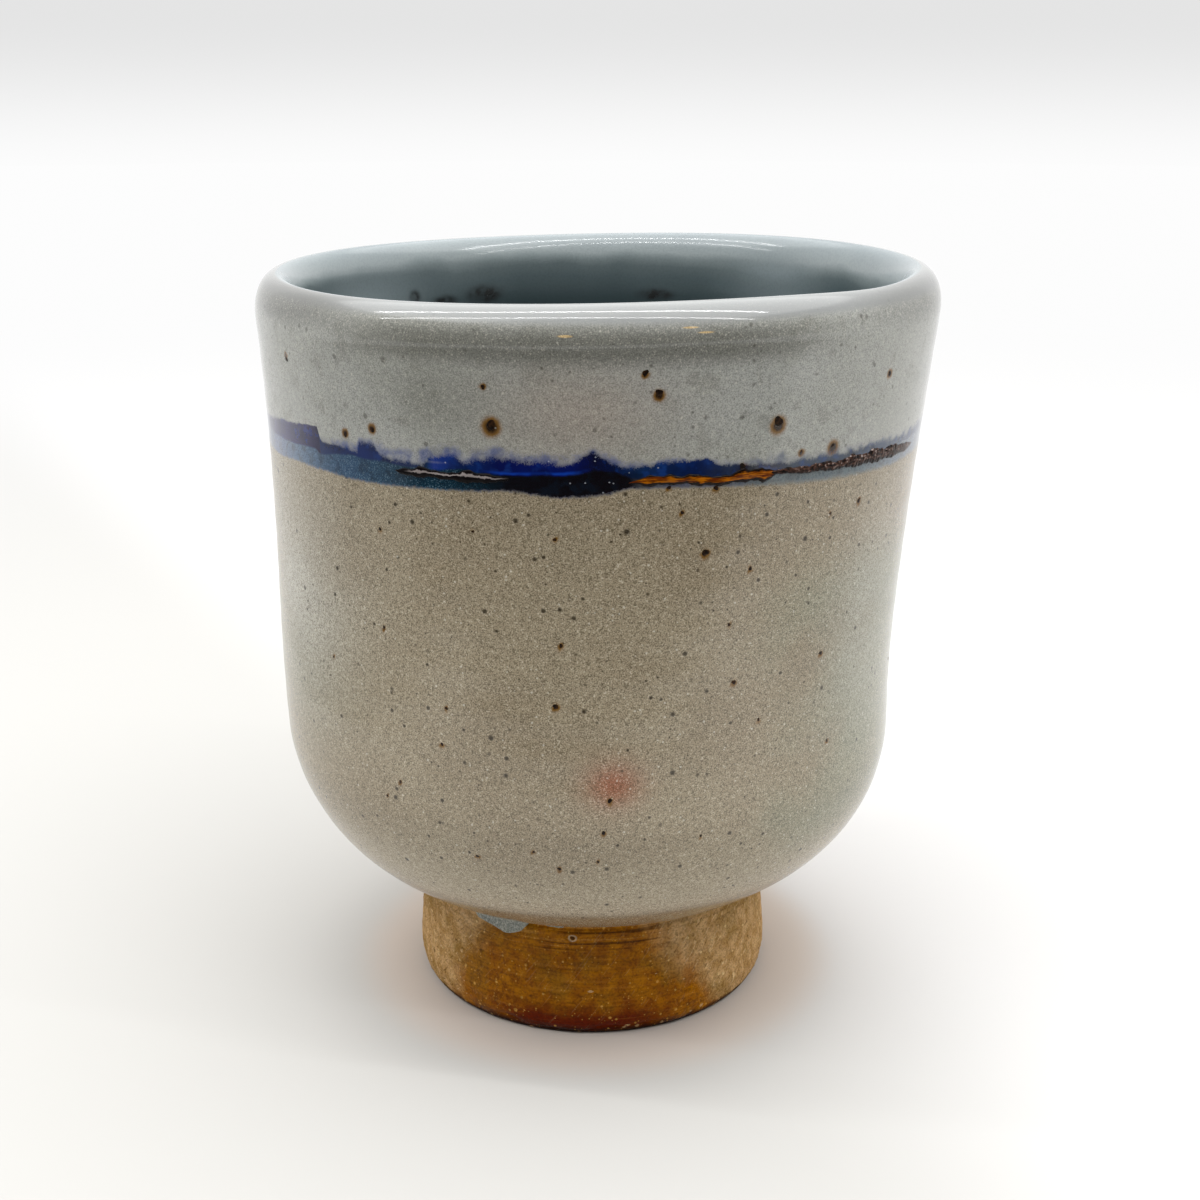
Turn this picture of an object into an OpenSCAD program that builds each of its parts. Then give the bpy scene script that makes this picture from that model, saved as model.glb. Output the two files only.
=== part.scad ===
// Stoneware tea bowl: a thrown wall on a turned foot, under separate coats of glaze.
// Millimetres. The bowl stands on z = 0 about the z axis and its front faces -y.

/* [Form] */
// Height from the table to the crest of the lip
bowl_height = 90; // [84:0.5:100]
// Outer diameter at the upright waist, over the glaze
waist_d = 74.9; // [70:0.1:82]
// Height of the upright waist
waist_z = 35.7; // [34:0.1:38]
// Radius of the long outward curve above the waist
flare_r = 525; // [400:5:900]
// Radius of the belly below the waist
belly_r = 21.2; // [20:0.1:22.5]
// Angle the belly turns through before its flatter underside
belly_turn = 52.7; // [48:0.1:56]
// Radius of the flatter underside
under_r = 32; // [29:0.1:36]

/* [Wall and lip] */
// Thickness of the clay wall
wall_t = 3.8; // [2.8:0.1:4.6]
// Thickness of the clay floor above the foot
floor_t = 4.5; // [3.5:0.1:6]
// Height of the tapered lip
lip_h = 4.1; // [3:0.1:5]
// Set-back of the crest from the outside of the lip
lip_back = 2.5; // [2.1:0.1:2.8]

/* [Foot] */
// Outer diameter where the foot meets the bowl
foot_top_d = 43.4; // [40:0.1:46]
// Outer diameter at the widest part near the table
foot_base_d = 45; // [44:0.1:50]
// Thickness of the foot wall
foot_wall = 5.5; // [4:0.1:7]
// Height of the upright neck under the bowl
foot_neck = 1.2; // [1:0.1:2]
// Height of the rounded outer edge on the table
foot_edge_h = 3.8; // [2:0.1:5]
// Width of the rounded outer edge on the table
foot_edge_w = 1.3; // [0.8:0.1:2]
// Bevel of the inner edge on the table
foot_bevel = 1; // [0.5:0.1:1.5]

/* [Glaze coats] */
// Thickness of every coat of glaze
glaze_t = 0.5; // [0.4:0.05:0.6]
// Drop from the crest of the lip to the lower edge of the blue band
band_drop = 18.8; // [16:0.1:22]
// Width of the blue band at the axis
band_w = 3.2; // [2.8:0.1:4]
// Fall of the band's upper edge towards the right
band_tilt = 1.7; // [0:0.1:2]

/* [Drawn line] */
// Height of the drawn line above the band's lower edge
line_rise = 1.2; // [0.8:0.1:1.3]
// Thickness of the iron line
iron_line_d = 0.6; // [0.4:0.05:0.65]
// Thickness of the amber line
amber_line_d = 0.8; // [0.5:0.05:0.85]
// Azimuth where the iron line starts, from the front towards the right
line_start = -32; // [-60:1:-10]
// Azimuth where the amber line starts
amber_start = 5; // [0:1:12]
// Azimuth where the amber line ends
amber_end = 27; // [20:1:40]
// Azimuth where the iron line ends
line_end = 64; // [50:1:80]

/* [Spots and runs] */
// Diameter of the largest iron spot
spot_d = 2; // [1:0.1:2.4]
// Depth of an iron spot in the glaze
spot_depth = 0.3; // [0.15:0.05:0.35]
// Height of an iron spot above the glaze
spot_rise = 0.1; // [0.05:0.01:0.2]
// Thickness of the amber wash on the foot
wash_t = 0.2; // [0.1:0.05:0.3]
// Width of the amber wash round the foot's front
wash_w = 28; // [20:0.5:34]
// Azimuth of the middle of the amber wash
wash_azimuth = -4; // [-20:1:20]
// Thickness of a glaze run on the foot
run_t = 0.6; // [0.4:0.05:0.9]
// Width of the widest glaze run
run_w = 4.2; // [3:0.1:5]
// Length of the longest glaze run below the seat
run_l = 5.4; // [4:0.1:7]

/* [Hidden] */
$fn = 180;
waist_r = waist_d / 2;
foot_top_r = foot_top_d / 2;
foot_base_r = foot_base_d / 2;
foot_in_r = foot_top_r - foot_wall;
full_wall = wall_t + 2 * glaze_t;

// Centres of the arcs that make the outer surface
belly_c = [waist_r - belly_r, waist_z];
under_c = belly_c + (belly_r - under_r) * [cos(belly_turn), -sin(belly_turn)];
flare_c = [waist_r + flare_r, waist_z];
belly_end_z = belly_c[1] - belly_r * sin(belly_turn);

// The lip is a quarter ellipse that leaves the flare without a kink
lip_z = bowl_height - lip_h;
lip_from = -atan(tan(asin((lip_z - waist_z) / flare_r)) * lip_h / lip_back);
flare_end_z = lip_z + lip_h * sin(lip_from);
flare_turn = asin((flare_end_z - waist_z) / flare_r);
lip_c = [flare_c[0] - flare_r * cos(flare_turn) - lip_back * cos(lip_from), lip_z];
lip_in = lip_c[0] - flare_c[0] + sqrt(pow(flare_r + full_wall, 2) - pow(lip_z - waist_z, 2));
inner_turn = asin((lip_z - waist_z) / (flare_r + full_wall));

// The foot is seated on a flat turned under the clay; the cavity runs smoothly into its floor
seat_z = under_c[1] + (under_r - glaze_t) * sin(under_from(glaze_t));
floor_z = seat_z + floor_t + glaze_t;
hollow_r = waist_z - floor_z;
hollow_c = [waist_r - full_wall - hollow_r, waist_z];
neck_z = seat_z - foot_neck;
band_z = bowl_height - band_drop;
band_top = band_z + band_w;
line_z = band_z + line_rise;

// Spots above the band: azimuth, share of the way up to the lip, share of the largest diameter
rim_spots = [
    [-57, 0.78, 0.5], [-41, 0.14, 0.45], [-15, 0.38, 1], [9, 0.68, 0.5], [28, 0.33, 0.8],
    [39, 0.1, 0.65], [51, 0.64, 0.5], [150, 0.45, 0.6], [262, 0.3, 0.55]
];

// Spots below the band: azimuth, share of the way down to the belly's end, share of the largest diameter
body_spots = [
    [-37, 0.31, 0.4], [-25, 0.46, 0.4], [-19, 0.08, 0.4], [-6, 0.09, 0.45], [-6, 0.43, 0.4],
    [-6, 0.8, 0.55], [1, 0.71, 0.45], [17, 0.12, 0.9], [22, 0.4, 0.5], [24, 0.165, 0.6],
    [40, 0.385, 0.55], [43, 0.595, 0.45], [46, 0.07, 0.5], [110, 0.3, 0.55], [175, 0.5, 0.65],
    [205, 0.16, 0.45], [240, 0.64, 0.5]
];

// Glaze runs: azimuth, share of the widest width, share of the longest length
runs = [[-31, 1, 0.9], [-17, 0.52, 1], [152, 0.7, 0.75]];

// Points along an arc or ellipse, without its first point
function arc(c, rx, rz, from, to, steps) = [
    for (i = [1 : steps])
        let (a = from + (to - from) * i / steps)
        [c[0] + rx * cos(a), c[1] + rz * sin(a)]
];

// Angle at which the underside reaches the foot, at a depth below the glaze
function under_from(depth) = -acos((foot_top_r - under_c[0]) / (under_r - depth));

// Outer surface at a depth below the glaze, from the foot up to the crest
function outside(depth) = concat(
    [[foot_top_r, under_c[1] + (under_r - depth) * sin(under_from(depth))]],
    arc(under_c, under_r - depth, under_r - depth, under_from(depth), -belly_turn, 6),
    arc(belly_c, belly_r - depth, belly_r - depth, -belly_turn, 0, 14),
    arc(flare_c, flare_r + depth, flare_r + depth, 180, 180 - flare_turn, 8),
    arc(lip_c, lip_back - depth, lip_h - depth, lip_from, 90, 12)
);

// Inner surface at a depth below the liner, from the crest down to the axis
function inside(depth) = concat(
    [[lip_c[0], bowl_height - depth]],
    arc(lip_c, lip_in - depth, lip_h - depth, 90, 180, 12),
    arc(flare_c, flare_r + full_wall - depth, flare_r + full_wall - depth, 180 - inner_turn, 180, 8),
    arc(hollow_c, hollow_r + depth, hollow_r + depth, 0, -90, 14),
    [[0, floor_z - depth]]
);

// Radius of the glazed surface at a height
function glaze_r(z) =
    z >= waist_z ? flare_c[0] - sqrt(pow(flare_r, 2) - pow(z - waist_z, 2))
    : z >= belly_end_z ? belly_c[0] + sqrt(pow(belly_r, 2) - pow(waist_z - z, 2))
    : under_c[0] + sqrt(pow(under_r, 2) - pow(under_c[1] - z, 2));

// Angle by which the glazed surface faces downwards at a height on the flare or the belly
function glaze_lean(z) = asin(z >= waist_z ? (z - waist_z) / flare_r : (waist_z - z) / belly_r);

function reversed(list) = [for (i = [len(list) - 1 : -1 : 0]) list[i]];

// The outer coat from the foot to the crest, pocketed for line and spots, before it is divided
module outer_coat() {
    difference() {
        rotate_extrude()
            polygon(concat(outside(0), reversed(outside(glaze_t))));
        amber_bead();
        iron_beads();
        spot_pegs();
    }
}

// Everything above a plane that falls towards the right
module above(z, tilt) {
    translate([0, 0, z])
        rotate([0, tilt, 0])
            translate([-bowl_height, -bowl_height, 0])
                cube([2 * bowl_height, 2 * bowl_height, bowl_height]);
}

// A bead lying in the glaze between two azimuths
module bead(d, from, to) {
    rotate([0, 0, from - 90])
        rotate_extrude(angle = to - from)
            translate([glaze_r(line_z), line_z])
                circle(d = d);
}

module amber_bead() {
    bead(amber_line_d, amber_start, amber_end);
}

module iron_beads() {
    bead(iron_line_d, line_start, amber_start);
    bead(iron_line_d, amber_end, line_end);
}

// The foot before its hollow is cut
module foot_blank() {
    rotate_extrude()
        polygon(concat(
            [[0, 0], [0, seat_z], [foot_top_r, seat_z], [foot_top_r, neck_z], [foot_base_r, foot_edge_h]],
            arc([foot_base_r - foot_edge_w, foot_edge_h], foot_edge_w, foot_edge_h, 0, -90, 8)
        ));
}

// The foot's hollow, with a bevel at the table
module foot_hollow() {
    rotate_extrude()
        polygon([[0, 0], [foot_in_r + foot_bevel, 0], [foot_in_r, foot_bevel], [foot_in_r, seat_z], [0, seat_z]]);
}

// A film of one thickness on the foot's face, from its rounded edge up to the glazed underside
module foot_film(t) {
    polygon([
        [foot_base_r, foot_edge_h],
        [foot_base_r + t, foot_edge_h],
        [foot_top_r + t, neck_z],
        [foot_top_r + t, lookup(foot_top_r + t, outside(0))],
        outside(0)[0],
        [foot_top_r, neck_z]
    ]);
}

// The outline of one run, round at the lower end, swept outwards from the axis
module run_tongue(azimuth, w, l) {
    rotate([90, 0, azimuth])
        linear_extrude(height = foot_base_d)
            translate([0, seat_z - l + w / 2]) {
                circle(d = w);
                translate([-w / 2, 0])
                    square([w, l]);
            }
}

module run_tongues() {
    for (r = runs)
        run_tongue(r[0], r[1] * run_w, r[2] * run_l);
}

// One iron spot: a short peg set square to the glazed surface
module spot_peg(azimuth, z, d) {
    rotate([0, 0, azimuth])
        translate([0, -glaze_r(z), z])
            rotate([90 + glaze_lean(z), 0, 0])
                translate([0, 0, -spot_depth])
                    cylinder(d = d, h = spot_depth + spot_rise);
}

module spot_pegs() {
    for (s = rim_spots)
        spot_peg(s[0], band_top + s[1] * (flare_end_z - band_top), s[2] * spot_d);
    for (s = body_spots)
        spot_peg(s[0], band_z - s[1] * (band_z - belly_end_z), s[2] * spot_d);
}

module bowl_wall() {
    color("#b9a184")
        rotate_extrude()
            polygon(concat(outside(glaze_t), inside(glaze_t), [[0, seat_z]]));
}

module foot_ring() {
    color("#a58a68")
        difference() {
            foot_blank();
            foot_hollow();
        }
}

module liner_glaze() {
    color("#a9b0b4")
        rotate_extrude()
            polygon(concat(inside(0), reversed(inside(glaze_t))));
}

module rim_glaze() {
    color("#b3b8c0")
        intersection() {
            outer_coat();
            above(band_top, band_tilt);
        }
}

module blue_band() {
    color("#39466f")
        difference() {
            intersection() {
                outer_coat();
                above(band_z, 0);
            }
            above(band_top, band_tilt);
        }
}

module amber_line() {
    color("#b67d2c")
        amber_bead();
}

module iron_line() {
    color("#4a3527")
        iron_beads();
}

module body_glaze() {
    color("#b6b3a6")
        difference() {
            outer_coat();
            above(band_z, 0);
        }
}

module iron_spots() {
    color("#4b3b30")
        spot_pegs();
}

module amber_wash() {
    color("#9a6a2a")
        difference() {
            intersection() {
                rotate_extrude()
                    foot_film(wash_t);
                rotate([90, 0, wash_azimuth])
                    translate([0, (neck_z + foot_edge_h) / 2, 0])
                        cylinder(d = wash_w, h = foot_base_d);
            }
            run_tongues();
        }
}

module glaze_runs() {
    color("#8f969c")
        intersection() {
            rotate_extrude()
                foot_film(run_t);
            run_tongues();
        }
}

bowl_wall();
foot_ring();
liner_glaze();
rim_glaze();
blue_band();
amber_line();
iron_line();
body_glaze();
iron_spots();
amber_wash();
glaze_runs();
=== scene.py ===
"""Looks of a hand-thrown stoneware tea bowl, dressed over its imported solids.

Lengths are in millimetres until an object is made. Azimuth is in degrees, from the front towards +X.
"""
import math

import bpy
import numpy as np
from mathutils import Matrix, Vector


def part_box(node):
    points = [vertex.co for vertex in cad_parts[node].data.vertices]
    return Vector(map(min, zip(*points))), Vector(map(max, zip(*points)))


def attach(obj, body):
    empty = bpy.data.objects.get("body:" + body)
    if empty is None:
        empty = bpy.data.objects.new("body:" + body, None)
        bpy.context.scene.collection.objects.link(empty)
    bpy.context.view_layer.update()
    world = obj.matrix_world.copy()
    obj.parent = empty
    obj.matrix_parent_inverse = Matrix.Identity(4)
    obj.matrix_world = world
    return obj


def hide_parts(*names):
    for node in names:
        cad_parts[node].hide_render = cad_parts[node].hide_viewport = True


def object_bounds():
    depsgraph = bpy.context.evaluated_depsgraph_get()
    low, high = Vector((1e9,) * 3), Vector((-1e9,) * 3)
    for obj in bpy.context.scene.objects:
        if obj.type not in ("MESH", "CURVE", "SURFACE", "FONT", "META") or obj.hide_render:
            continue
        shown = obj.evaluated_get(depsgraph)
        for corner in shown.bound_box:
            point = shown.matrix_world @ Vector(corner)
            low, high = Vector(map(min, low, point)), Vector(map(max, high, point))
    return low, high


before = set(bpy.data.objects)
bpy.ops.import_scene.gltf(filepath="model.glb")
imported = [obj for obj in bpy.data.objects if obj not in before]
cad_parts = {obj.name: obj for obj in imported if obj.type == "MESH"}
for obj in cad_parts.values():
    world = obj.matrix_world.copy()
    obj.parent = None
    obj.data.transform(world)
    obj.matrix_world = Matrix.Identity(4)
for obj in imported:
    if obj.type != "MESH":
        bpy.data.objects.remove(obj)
cad_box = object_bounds()

MM = 0.001


def box_mm(node):
    """Lowest and highest corner of a CAD node, in millimetres."""
    low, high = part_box(node)
    return np.array(low) / MM, np.array(high) / MM


# Section of the bowl: what the frame gives, and the driving sizes that it was drawn from
HEIGHT = cad_box[1].z / MM
SEAT_Z = box_mm("foot_ring")[1][2]
FOOT_BASE_R = box_mm("foot_ring")[1][0]
BAND_Z = box_mm("blue_band")[0][2]
GLAZE_T = 0.5
FLOOR_Z = box_mm("liner_glaze")[0][2] + GLAZE_T
WAIST_R = 37.45
WAIST_Z = 35.7
FLARE_R = 525
BELLY_R = 21.2
BELLY_TURN = 52.7
UNDER_R = 32
FULL_WALL = 4.8
LIP_H = 4.1
LIP_BACK = 2.5
BAND_TOP = 74.4
BAND_TILT = 1.7
FOOT_TOP_R = 21.7
FOOT_IN_R = 16.2
FOOT_NECK = 1.2
FOOT_EDGE_H = 3.8
FOOT_EDGE_W = 1.3
FOOT_BEVEL = 1

# How the potter's hands left it: the lean of the wall, the shift of foot and rim, and the rim's waves
LEAN = -1.05
LEAN_Z = 42
LEAN_SPREAD = 19
LIFT_FROM = 60
FOOT_SHIFT = -0.35
FOOT_SHIFT_FADE = 12
RIM_SHIFT = 0.43
RIM_DROP = 0.16
RIM_TILT = 0.4
RIM_WAVE = 0.07
RIM_THIRD = 0.16
RIM_THIRD_PHASE = 0.66
RIM_DIP = 0.3
RIM_DIP_AZIMUTH = 52
RIM_DIP_SPREAD = 15
DENT = 0.1
DENT_TWISTS = (17, 23)
DENT_PHASE = 0.9
RING = 0.012
RING_PITCH = 4.6
RING_WANDER = 0.7
RING_PHASE = 0.4
RING_FROM = 18
RING_FULL = 30

# Meshes
AROUND = 600
AZIMUTHS = np.arange(AROUND) * 360 / AROUND
PATH_STEP = 0.02
FIT_ROUNDS = 6
NORMAL_STEP = 0.03
NORMAL_SPIN = 0.05
DISC_R = 2


def smooth(value, low, high):
    """0 below low, 1 above high, and an even rise between."""
    share = np.clip((value - low) / (high - low), 0, 1)
    return share * share * (3 - 2 * share)


def arc(centre, rx, rz, start, stop):
    """Points of an elliptical arc between two angles in degrees."""
    count = max(4, int(math.radians(abs(stop - start)) * max(rx, rz) / PATH_STEP))
    turn = np.radians(np.linspace(start, stop, count))
    return np.column_stack([centre[0] + rx * np.cos(turn), centre[1] + rz * np.sin(turn)])


class Path:
    """A section line of radius and height, read by the length along it."""

    def __init__(self, *stretches):
        points = np.vstack(stretches)
        steps = np.hypot(*np.diff(points, axis=0).T)
        keep = np.concatenate([[True], steps > 1e-6])
        self.r, self.z = points[keep].T
        self.length = np.concatenate([[0], np.cumsum(np.hypot(np.diff(self.r), np.diff(self.z)))])
        self.end = self.length[-1]
        self.out_r = np.gradient(self.z, self.length)
        self.out_z = -np.gradient(self.r, self.length)

    def at(self, length, depth=0.0):
        """Radius and height at a length, sunk by a depth below the surface."""
        r, z, out_r, out_z = (np.interp(length, self.length, value)
                              for value in (self.r, self.z, self.out_r, self.out_z))
        size = np.hypot(out_r, out_z)
        return r - depth * out_r / size, z - depth * out_z / size


def flare_radius(z, offset=0.0):
    return WAIST_R + FLARE_R - np.sqrt((FLARE_R + offset) ** 2 - (z - WAIST_Z) ** 2)


def lip_joint(across, offset):
    """Angle on the lip's quarter ellipse, and height, where the flared wall runs into it smoothly."""
    z = HEIGHT - LIP_H
    for _ in range(FIT_ROUNDS):
        lean = (z - WAIST_Z) / math.sqrt((FLARE_R + offset) ** 2 - (z - WAIST_Z) ** 2)
        angle = math.degrees(math.atan(lean * LIP_H / across))
        z = HEIGHT - LIP_H - math.copysign(LIP_H, 0.5 - offset) * math.sin(math.radians(angle))
    return angle, z


def flare_line(start_z, stop_z, offset=0.0):
    z = np.linspace(start_z, stop_z, int(abs(stop_z - start_z) / PATH_STEP))
    return np.column_stack([flare_radius(z, offset), z])


def skin_path():
    """The glazed surface, from the foot up the outside, over the lip and down to the middle of the floor."""
    belly = (WAIST_R - BELLY_R, WAIST_Z)
    turn = math.radians(BELLY_TURN)
    under = (belly[0] - (UNDER_R - BELLY_R) * math.cos(turn),
             belly[1] + (UNDER_R - BELLY_R) * math.sin(turn))
    under_start = -math.degrees(math.acos((FOOT_TOP_R - under[0]) / UNDER_R))
    out_angle, out_z = lip_joint(LIP_BACK, 0.0)
    lip = (flare_radius(out_z) - LIP_BACK * math.cos(math.radians(out_angle)), HEIGHT - LIP_H)
    lip_in = lip[0] - flare_radius(lip[1], FULL_WALL)
    for _ in range(FIT_ROUNDS):
        in_angle, in_z = lip_joint(lip_in, FULL_WALL)
        lip_in = (lip[0] - flare_radius(in_z, FULL_WALL)) / math.cos(math.radians(in_angle))
    hollow_r = WAIST_Z - FLOOR_Z
    hollow = (WAIST_R - FULL_WALL - hollow_r, WAIST_Z)
    floor_r = np.linspace(hollow[0], 0, int(hollow[0] / PATH_STEP))
    return Path(arc(under, UNDER_R, UNDER_R, under_start, -BELLY_TURN),
                arc(belly, BELLY_R, BELLY_R, -BELLY_TURN, 0),
                flare_line(WAIST_Z, out_z),
                arc(lip, LIP_BACK, LIP_H, -out_angle, 90),
                arc(lip, lip_in, LIP_H, 90, 180 - in_angle),
                flare_line(in_z, WAIST_Z, FULL_WALL),
                arc(hollow, hollow_r, hollow_r, 0, -90),
                np.column_stack([floor_r, np.full_like(floor_r, FLOOR_Z)]))


SKIN = skin_path()
CREST = SKIN.length[np.argmax(SKIN.z)]
OUTSIDE = SKIN.length <= CREST


def skin_at_height(z):
    """Length along the skin, on the outside, at a height."""
    return np.interp(z, SKIN.z[OUTSIDE], SKIN.length[OUTSIDE])


def turned(azimuth, r, z):
    """Points in space from azimuth, radius and height."""
    turn = np.radians(azimuth)
    return np.stack(np.broadcast_arrays(r * np.sin(turn), -r * np.cos(turn), z), axis=-1)


def thrown(points):
    """The points as the hands left them: a lean, a dipping rim, faint rings and shallow dents."""
    x, y, z = np.moveaxis(points, -1, 0)
    turn = np.arctan2(x, -y)
    lift = smooth(z, LIFT_FROM, HEIGHT)
    lean = LEAN * np.exp(-((z - LEAN_Z) / LEAN_SPREAD) ** 2) + RIM_SHIFT * lift
    lean = lean + FOOT_SHIFT * (1 - smooth(z, SEAT_Z, SEAT_Z + FOOT_SHIFT_FADE))
    rings = RING * np.sin(2 * np.pi * z / RING_PITCH + RING_WANDER * np.sin(turn + RING_PHASE))
    dents = np.sin(2 * turn + z / DENT_TWISTS[0]) * np.sin(turn + DENT_PHASE + z / DENT_TWISTS[1])
    swell = 1 + (rings + DENT * dents) * smooth(z, RING_FROM, RING_FULL) / WAIST_R
    dip = RIM_DIP * np.exp(-((np.degrees(turn) - RIM_DIP_AZIMUTH) / RIM_DIP_SPREAD) ** 2)
    waves = RIM_WAVE * np.cos(2 * turn) + RIM_THIRD * np.cos(3 * turn - RIM_THIRD_PHASE)
    rise = lift * (RIM_TILT * np.sin(turn) + waves - dip - RIM_DROP)
    return np.stack([x * swell + lean, y * swell, z + rise], axis=-1)


def skin_points(azimuth, length, depth=0.0):
    """Points of the finished skin at azimuths and lengths along its section."""
    r, z = SKIN.at(length, depth)
    return thrown(turned(azimuth, r, z))


def skin_normals(azimuth, length):
    """Outward normals of the skin, the same on both sides of a seam."""
    up = skin_points(azimuth, length + NORMAL_STEP) - skin_points(azimuth, length - NORMAL_STEP)
    round_it = skin_points(azimuth + NORMAL_SPIN, length) - skin_points(azimuth - NORMAL_SPIN, length)
    normals = np.cross(round_it, up)
    return normals / np.linalg.norm(normals, axis=-1, keepdims=True)


def quads(rows, columns, wrap_rows, wrap_columns):
    """Faces between the points of a grid."""
    index = np.arange(rows * columns).reshape(rows, columns)
    if wrap_rows:
        index = np.vstack([index, index[:1]])
    if wrap_columns:
        index = np.hstack([index, index[:, :1]])
    low, high = index[:-1], index[1:]
    faces = np.stack([low[:, :-1], low[:, 1:], high[:, 1:], high[:, :-1]], axis=-1)
    return faces.reshape(-1, 4).tolist()


def tube(rows, columns):
    """Faces of a tube with closed ends."""
    first = list(range(columns))
    last = [(rows - 1) * columns + index for index in first]
    return quads(rows, columns, False, True) + [first[::-1], last]


def join(parts):
    """Points and faces of several meshes as one."""
    points, faces, base = [], [], 0
    for part in parts:
        points.append(part[0])
        faces += [[index + base for index in face] for face in part[1]]
        base += len(part[0])
    return np.concatenate(points), faces


def new_mesh(name, points, faces, material):
    mesh = bpy.data.meshes.new(name)
    mesh.from_pydata((np.asarray(points, float).reshape(-1, 3) * MM).tolist(), [], faces)
    mesh.materials.append(material)
    return mesh


def add_object(name, data):
    thing = bpy.data.objects.new(name, data)
    bpy.context.scene.collection.objects.link(thing)
    return thing


def add_piece(name, points, faces, material, slot, normals=None, fields=None):
    """A closed mesh that stands for the CAD node of the same name."""
    mesh = new_mesh(name, points, faces, material)
    mesh.validate()
    mesh.polygons.foreach_set("use_smooth", np.ones(len(mesh.polygons), bool))
    for field, values in (fields or {}).items():
        attribute = mesh.attributes.new(field, "FLOAT", "POINT")
        attribute.data.foreach_set("value", np.asarray(values, np.float32).ravel())
    if normals is not None:
        mesh.normals_split_custom_set_from_vertices(np.asarray(normals).reshape(-1, 3).tolist())
    piece = add_object(name + "_surface", mesh)
    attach(piece, "root")
    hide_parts(name)


# Iron spots: azimuth, height, width and the width of the brown halo round them
RIM_SPOTS = [
    (-15.2, 78.4, 1.1, 2.3), (27.7, 77.9, 1.2, 2.2), (38.9, 74.6, 0.5, 1.9), (8.8, 81.6, 0.8, 1.4),
    (6.7, 83.6, 0.7, 0.9), (51.3, 81.2, 0.7, 1.2), (-35.7, 76.8, 0.7, 1.3), (-41.6, 75.8, 0.7, 1.2),
    (-56.9, 82.6, 0.7, 0.9), (-16.3, 82.2, 0.5, 0.8), (22.3, 73.6, 0.8, 1.4), (32.5, 74.5, 0.3, 1),
    (112, 80.4, 1, 2), (147, 77.6, 0.8, 1.6), (-128, 82, 0.9, 1.8), (-158, 79, 0.7, 1.3),
    (-95, 77.2, 0.8, 1.5), (178, 83, 0.6, 1.1), (84, 78.8, 0.7, 1.4), (11, 71.95, 0.5, 0.6),
    (18.3, 71.6, 0.6, 0.7),
]
BODY_SPOTS = [
    (17.5, 64.9, 0.86, 1.19), (25.4, 62.6, 0.5, 0.77), (13.3, 69.3, 0.43, 0.68), (47.4, 67.7, 0.65, 1.02),
    (40.4, 67.1, 0.43, 0.68), (42.3, 51.1, 0.58, 0.85), (24.4, 50.1, 0.58, 0.85), (22.6, 56.7, 0.43, 0.68),
    (29.7, 45.2, 0.43, 0.68), (46, 40.1, 0.43, 0.68), (-5.6, 66.7, 0.43, 0.68), (-18.3, 67.1, 0.36, 0.59),
    (-35.1, 66, 0.43, 0.68), (-4.1, 55.3, 0.5, 0.85), (-4.6, 48.6, 0.65, 1.02), (-22.8, 47.3, 0.43, 0.68),
    (-23.7, 43.1, 0.43, 0.68), (-47.5, 49.8, 0.36, 0.59), (-34.8, 55.1, 0.43, 0.68),
    (-32.3, 37.6, 0.43, 0.68), (-35.5, 35.4, 0.36, 0.59), (-4.8, 29.5, 0.5, 0.85),
    (-18.9, 30.2, 0.43, 0.68), (-8.8, 31.6, 0.36, 0.59),
    (1.8, 30.5, 0.36, 0.59), (2.9, 34.2, 0.5, 0.77), (4.1, 37.9, 0.58, 0.94), (19.3, 32.8, 0.36, 0.59),
    (96, 63, 0.65, 0.94), (123, 47, 0.58, 0.85), (161, 58, 0.5, 0.77), (-111, 52, 0.58, 0.85),
    (-140, 66, 0.5, 0.77), (-166, 40, 0.65, 0.94), (141, 33, 0.5, 0.77), (-84, 61, 0.5, 0.77),
    (75, 44, 0.43, 0.68), (-122, 34, 0.43, 0.68),
]
HALO_SAG = 0.15
HALO_TALL = 0.9
HALO_FALL = 1.6


def halo_field(azimuth, z):
    """How strongly the iron spots stain the glaze round them, at azimuths and heights."""
    field = np.zeros(np.broadcast(azimuth, z).shape)
    for spot_azimuth, spot_z, _, halo in RIM_SPOTS + BODY_SPOTS:
        across = np.radians((azimuth - spot_azimuth + 180) % 360 - 180) * WAIST_R
        gap = np.hypot(across, (z - spot_z + HALO_SAG * halo) * HALO_TALL)
        field = np.maximum(field, np.exp(-(gap / (halo / 2)) ** 2 * HALO_FALL))
    return field


# The back of a coat has one row of points for so many on its face
BACK_COARSER = 12


def make_coat(name, start, stop, step, slot):
    """One stretch of the glaze as a closed shell, from one length along the skin to another."""
    start = np.broadcast_to(start, AROUND)
    stop = np.broadcast_to(stop, AROUND)
    outer = np.linspace(0, 1, int(np.max(stop - start) / step) + 2)[:, None]
    inner = np.linspace(1, 0, max(3, len(outer) // BACK_COARSER))[:, None]
    outer_length = start + (stop - start) * outer
    face = skin_points(AZIMUTHS, outer_length)
    back = skin_points(AZIMUTHS, start + (stop - start) * inner, GLAZE_T)
    points = np.concatenate([face, back])
    normals = np.zeros_like(points)
    normals[:len(face)] = skin_normals(AZIMUTHS, outer_length)
    halo = np.zeros(points.shape[:2])
    halo[:len(face)] = halo_field(AZIMUTHS, face[..., 2])
    add_piece(name, points, quads(len(points), AROUND, True, True), outer_glaze(name), slot,
              normals, {"halo": halo})


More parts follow.
